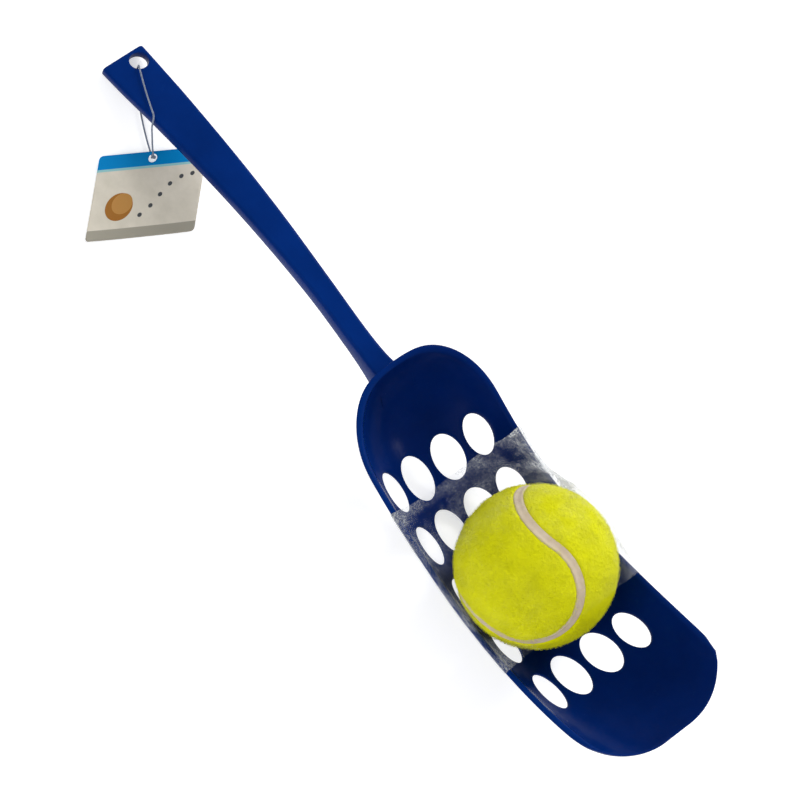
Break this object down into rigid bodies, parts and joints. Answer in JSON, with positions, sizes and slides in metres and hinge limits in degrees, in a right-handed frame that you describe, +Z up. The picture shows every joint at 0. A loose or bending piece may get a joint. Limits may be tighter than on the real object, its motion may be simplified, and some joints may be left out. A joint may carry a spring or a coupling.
{
  "type": "dog tennis ball launcher",
  "caption": "Hand-held scoop launcher for throwing a tennis ball: curved trough with oval cut-outs and a slim curved handle, with felt ball, clear film and hang tag.",
  "frame": {"origin": "on the table under the middle of the launcher's length, in its plane of symmetry", "axes": "+X from the handle's end to the scoop's tip, +Z up with the scoop's open side, +Y across"},
  "size_m": [0.3464, 0.092, 0.0679],
  "materials": {
    "blue_plastic": "gloss",
    "core_rubber": "matt",
    "felt": "napped felt",
    "seam_rubber": "matt",
    "clear_film": "clear film",
    "card": "coated card",
    "thread": "twisted thread"
  },
  "bodies": {
    "launcher": {"scoop": "blue_plastic", "handle": "blue_plastic"},
    "ball": {"ball_core_top": "core_rubber", "ball_core_bottom": "core_rubber", "ball_felt_a": "felt", "ball_felt_b": "felt", "ball_seam": "seam_rubber"},
    "film": {"film": "clear_film"},
    "tag": {"tag_card": "card", "tag_thread": "thread"}
  },
  "joints": [
    {"name": "ball_lift", "type": "slide", "parent": "launcher", "child": "ball", "axis": [0, 0, 1], "range_m": [0, 0.1]},
    {"name": "film_off", "type": "slide", "parent": "ball", "child": "film", "axis": [0, 0, 1], "range_m": [0, 0.08]},
    {"name": "tag_swing", "type": "hinge", "parent": "launcher", "child": "tag", "pos_m": [-0.16774, 0.0042, 0.0042], "axis": [0, 0, 1], "range_deg": [-45, 0]}
  ]
}
